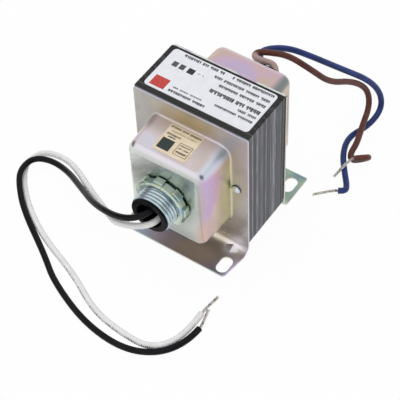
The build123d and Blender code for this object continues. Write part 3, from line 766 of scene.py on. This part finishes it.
def addCore():
    form, material = laminations, newMaterial("varnishedSiliconSteel", varnishedSteel)
    middle = form["base"] + form["height"] / 2
    pivot = np.array([0, middle])
    window = form["width"] / 2 - form["limb"]
    tongueLow, tongueHigh = middle - form["tongue"] / 2, middle + form["tongue"] / 2
    windowLow, windowHigh = form["base"] + form["limb"], form["base"] + form["height"] - form["limb"]
    spineHole = (form["width"] / 2 - form["limb"] / 2, middle)
    shapes = []
    for setIn in (0, form["rearSetIn"]):
        # E with its spine at +Y and I at +Y, anticlockwise from +X; the other hand is a half turn of these
        half, low = form["width"] / 2 - setIn, form["base"] + setIn
        high = form["base"] + form["height"] - setIn
        eShape = sheetOutline([
            (-window, low), (half, low), (half, high), (-window, high), (-window, windowHigh),
            (window, windowHigh), (window, tongueHigh), (-window, tongueHigh), (-window, tongueLow),
            (window, tongueLow), (window, windowLow), (-window, windowLow)], spineHole)
        iShape = sheetOutline([(window, low), (half, low), (half, high), (window, high)], spineHole)
        turned = [[(2 * pivot - loop, -inward) for loop, inward in shape] for shape in (eShape, iShape)]
        shapes.append((eShape, iShape, *turned))
    count = form["perPacket"] * form["packets"]
    index = np.arange(count)
    starts = form["rear"] + index * form["sheet"] + form["gap"] / 2
    draw = np.random.default_rng(form["seed"])
    shifts = (draw.random((2, count, 2)) - 0.5) * form["unevenness"]
    even = (index // form["perPacket"]) % 2 == 0
    first, rest, odd = index[:1], index[even][1:], index[~even]
    (eShape, iShape, eTurned, iTurned), (eRear, _, _, iRear) = shapes
    eStack = [(eRear, first), (eShape, rest), (eTurned, odd)]
    iStack = [(iRear, first), (iTurned, rest), (iShape, odd)]
    stackSheets("eSheets", eStack, starts, shifts[0], material, "e_laminations")
    stackSheets("iSheets", iStack, starts, shifts[1], material, "i_laminations")
    print("core stacked:", count, "sheets")


addCore()

# The conduit hub: a threaded nipple and its locknut
nipple = {
    "headRear": 36.06, "headFront": 38.46, "end": 51.76, "headRadius": 13.2, "boreRadius": 8.3,
    "crestRadius": 10.67, "depth": 0.70, "pitch": 1.814, "endChamfer": 0.5,
    "stepsPerPitch": 16, "around": 160, "crease": 50,
}
lockNut = {
    "thickness": 5.2, "lugGap": 0.40, "rimGap": 0.70, "boreRadius": 10.72, "rimRadius": 12.9, "chamfer": 0.7,
    "lugs": 8, "lugTurn": 3.0, "lugRadius": 14.2, "lugWidth": 5.0, "lugHeight": 4.0, "lugEdge": 0.3,
    "teeth": 96, "toothDepth": 0.10, "lugSteps": 16, "gapSteps": 34, "crease": 30,
}
# the roots of its thread are darkened with painted shade
hubZinc = newMaterial(
    "clearZincPlate", brightZinc,
    [(0.28, "9ab2c6"), (0.45, "c2d4da"), (0.58, "c8d6d8"), (0.75, "b6b4d4")], 6.0, (9.95, 10.5, "84949e"))
nutZinc = newMaterial(
    "greenishZincPlate", brightZinc,
    [(0.28, "9fbab6"), (0.42, "c8dad2"), (0.52, "c8ceba"), (0.62, "b2cdce"), (0.78, "b4b2d6")], 5.0)


def putTurned(name, x, radius, angle, material, node, crease):
    # A closed section, given by X and radius, carried round the hub's axis and joined to itself both ways
    points = np.broadcast_arrays(x, radius * np.cos(angle), hub["axisZ"] + radius * np.sin(angle))
    points = np.stack(points, -1)
    faces = gridFaces(*points.shape[:2], wrapRows=True, wrapColumns=True)
    points = points.reshape(-1, 3)
    putPiece(name, points, facingOut(points, faces).tolist(), material, [node], crease)


def addNipple():
    # On the thread the radius is the crest's less the depth of a groove, round on its crests and sharp in its
    # root, whose place along X moves one pitch for each turn
    form = nipple
    steps = int((form["end"] - form["headFront"]) / form["pitch"] * form["stepsPerPitch"])
    thread = np.linspace(form["headFront"], form["end"], steps)
    head = [form["headRear"], form["headRear"], form["headFront"]]
    x = np.concatenate([head, thread, [form["end"]]])[:, None]
    plain = np.concatenate([[form["boreRadius"], form["headRadius"], form["headRadius"]],
                            np.full(steps, form["crestRadius"]), [form["boreRadius"]]])[:, None]
    angle = np.linspace(0, 2 * np.pi, form["around"], endpoint=False)
    turn = x / form["pitch"] - angle / (2 * np.pi)
    wave = np.abs(2 * (turn % 1) - 1)   # 1 on the crest line, 0 on the root line
    groove = form["depth"] * (1 - wave) ** 2
    cone = form["crestRadius"] - np.clip(x - (form["end"] - form["endChamfer"]), 0, None)
    onThread = np.zeros((len(x), 1), bool)
    onThread[len(head):-1] = True
    radius = np.where(onThread, np.minimum(plain - groove, cone), plain)
    putTurned("threadedNipple", x, radius, angle, hubZinc, "conduit_nipple", form["crease"])


def addLockNut():
    # One section through a lug and one between lugs, with a narrow band at each side of a lug to pass from
    # one to the other. Fine teeth ripple the front rim's radius round the ring
    form = lockNut
    rim, lugRim, bore = form["rimRadius"], form["lugRadius"], form["boreRadius"]
    front, top, chamfer, edge = form["thickness"], form["lugHeight"], form["chamfer"], form["lugEdge"]
    lugGap, rimGap = form["lugGap"], form["rimGap"]
    nose = [(front - chamfer, rim), (front, rim - chamfer), (front, bore)]
    lug = np.array([(lugGap, bore), (lugGap, lugRim - edge), (lugGap + edge, lugRim), (top - edge, lugRim),
                    (top, lugRim - edge), (top, rim), *nose])
    gap = np.array([(rimGap, bore), (rimGap, rim - edge), (rimGap + edge, rim), (top - edge, rim),
                    (top - edge / 2, rim), (top, rim), *nose])
    half = math.asin(form["lugWidth"] / 2 / lugRim)
    band = edge / lugRim
    pitch = 2 * np.pi / form["lugs"]
    overLug = np.linspace(-half, half, form["lugSteps"])
    between = np.linspace(half + band, pitch - half - band, form["gapSteps"])
    angle = np.concatenate([overLug, between]) + np.arange(form["lugs"])[:, None] * pitch
    angle = angle.ravel() + math.radians(90 + form["lugTurn"])
    isLug = np.tile(np.arange(len(overLug) + len(between)) < len(overLug), form["lugs"])
    section = np.where(isLug, lug[:, :, None], gap[:, :, None])
    x, radius = section[:, 0] + hub["bellFace"], section[:, 1].copy()
    radius[-3:-1] += form["toothDepth"] * np.cos(form["teeth"] * angle)   # the nose's two rims
    putTurned("lockNut", x, radius, angle, nutZinc, "locknut", form["crease"])


addNipple()
addLockNut()
print("hub threaded")

# Print on the labels: rows of plain bars, and blocks
ratingPrint = {
    "top": 83.65, "raise": 0.03, "barGap": 0.24, "groupGap": 1.0, "stroke": 0.46, "seed": 21,
    # ink, middle of the row in X, from Y to Y, bar height, pairs of bars in each group
    "rows": [
        ("black", 7.0, 27.4, 7.0, 1.5, (7, 11)),
        ("black", 3.9, 27.4, 17.6, 1.5, (5, 4)),
        ("black", 0.4, 27.4, 0.0, 2.4, (4, 3, 7)),
        ("black", -4.3, 27.4, 2.0, 1.7, (4, 6, 8)),
        ("black", -8.0, 27.4, -3.0, 1.7, (4, 6, 9, 4)),
        ("black", -11.9, 27.4, 4.8, 1.7, (10, 6, 1)),
        ("black", -11.9, 0.0, -22.4, 1.7, (2, 4, 3, 8)),
        ("black", 10.5, 3.6, -16.4, 1.5, (5, 10)),
        ("black", 7.9, 0.2, -15.4, 0.9, (8, 6, 3)),
        ("grey", -5.2, -7.2, -10.6, 0.8, (2, 3)),
    ],
    # ink, X from, X to, Y from, Y to
    "blocks": [
        ("red", 5.2, 11.8, -26.6, -18.6),
        ("black", -6.4, -3.0, -15.8, -12.2),
        ("grey", -6.4, -3.2, -20.4, -17.6), ("grey", -6.4, -3.2, -24.4, -21.6),
    ],
}
frontPrint = {   # the same, with distance down the cup's upper wall in place of X
    "start": (17.46, 72.487), "draft": 3.0, "lift": 0.15, "raise": 0.03,
    "barGap": 0.20, "groupGap": 0.6, "stroke": 0.46, "seed": 8,
    "rows": [
        ("umber", 2.7, -8.4, 8.4, 1.2, (8, 6, 9)),
        ("umber", 4.9, -6.5, 7.0, 0.35, (12, 9)),
        ("black", 7.0, -7.8, -0.4, 1.0, (9,)),
        ("black", 8.5, -6.2, -2.4, 0.9, (4,)),
        ("umber", 10.2, 1.9, 7.2, 0.7, (6,)),
        ("umber", 12.0, 1.9, 7.2, 0.9, (3, 4)),
        ("umber", 14.2, 1.9, 7.2, 1.1, (5,)),
    ],
    "blocks": [
        ("slate", 9.8, 16.3, -7.9, -1.3),
        ("umber", 8.8, 9.05, 1.0, 8.1), ("umber", 15.7, 15.95, 1.0, 8.1),
        ("umber", 9.05, 15.7, 1.0, 1.25), ("umber", 9.05, 15.7, 7.85, 8.1),
    ],
}
barForm = {"narrowest": 0.7, "spread": 0.6, "shortest": 0.45}   # by chance, as shares of a bar
inkForm = {"roughness": 0.45, "grain": 0.8}
inkTints = {
    "black": ("blackPrintingInk", "17181b", "24252a"), "grey": ("greyPrintingInk", "3c3e44", "55575e"),
    "red": ("redPrintingInk", "b8322c", "cf4a42"), "slate": ("slateGreenPrintingInk", "1f2a2b", "2b3637"),
    "umber": ("umberPrintingInk", "2b251d", "41382b"),
}
inks = {ink: newMaterial(name, layeredSheet, *tints, inkForm["roughness"], inkForm["grain"])
        for ink, (name, *tints) in inkTints.items()}


def barRows(form):
    # Splits each row into groups of pairs of thin bars, the second of a pair shorter by chance; gives ink,
    # and X and Y limits of each bar
    draw = np.random.default_rng(form["seed"])
    for ink, middle, start, end, height, groups in form["rows"]:
        pairs = sum(groups)
        widths = barForm["narrowest"] + barForm["spread"] * draw.random(pairs)
        breaks = np.zeros(pairs)
        breaks[np.cumsum(groups)[:-1]] = form["groupGap"]
        room = abs(end - start) - breaks.sum() - form["barGap"] * (pairs - 1)
        widths *= room / widths.sum()
        first = np.cumsum(breaks + form["barGap"]) - form["barGap"] + np.cumsum(widths) - widths
        side = np.sign(end - start)
        stroke = form["stroke"] * widths
        near = np.concatenate([first, first + widths - stroke])
        y = np.sort(np.stack([start + side * near, start + side * (near + np.tile(stroke, 2))]), axis=0)
        short = barForm["shortest"] + (1 - barForm["shortest"]) * draw.random(pairs)
        low = np.full(2 * pairs, middle - height / 2)
        yield ink, np.stack([low, low + height * np.concatenate([np.ones(pairs), short]), *y], -1)


def printedBars(name, form, lay):
    # Each bar is a low block: its four corners low, then high; lay carries (along, across, up) onto the label
    byInk = {}
    for ink, limits in barRows(form):
        byInk.setdefault(ink, []).append(limits)
    for ink, *limits in form["blocks"]:
        byInk.setdefault(ink, []).append(np.array([limits]))
    block = np.array([(3, 2, 1, 0), (4, 5, 6, 7), (0, 1, 5, 4), (1, 2, 6, 5), (2, 3, 7, 6), (3, 0, 4, 7)])
    for ink, groups in byInk.items():
        limits = np.concatenate(groups)
        along, across = np.tile(limits[:, [0, 1, 1, 0]], (1, 2)), np.tile(limits[:, [2, 2, 3, 3]], (1, 2))
        up = np.broadcast_to(np.repeat([0, form["raise"]], 4), along.shape)
        faces = (block[None] + np.arange(len(limits))[:, None, None] * 8).reshape(-1, 4)
        putPiece(f"{name}{ink.capitalize()}", lay(along, across, up), faces.tolist(), inks[ink])


def ontoTop(along, across, up):
    return np.stack([along, across, ratingPrint["top"] + up], -1)


def ontoCup(along, across, up):
    # The cup's upper wall falls by the draft angle away from the flange
    draft = math.radians(frontPrint["draft"])
    lifted = frontPrint["lift"] + up
    x = frontPrint["start"][0] + along * math.cos(draft) + lifted * math.sin(draft)
    z = frontPrint["start"][1] - along * math.sin(draft) + lifted * math.cos(draft)
    return np.stack([x, across, z], -1)


printedBars("ratingPrint", ratingPrint, ontoTop)
printedBars("frontPrint", frontPrint, ontoCup)
print("labels printed")
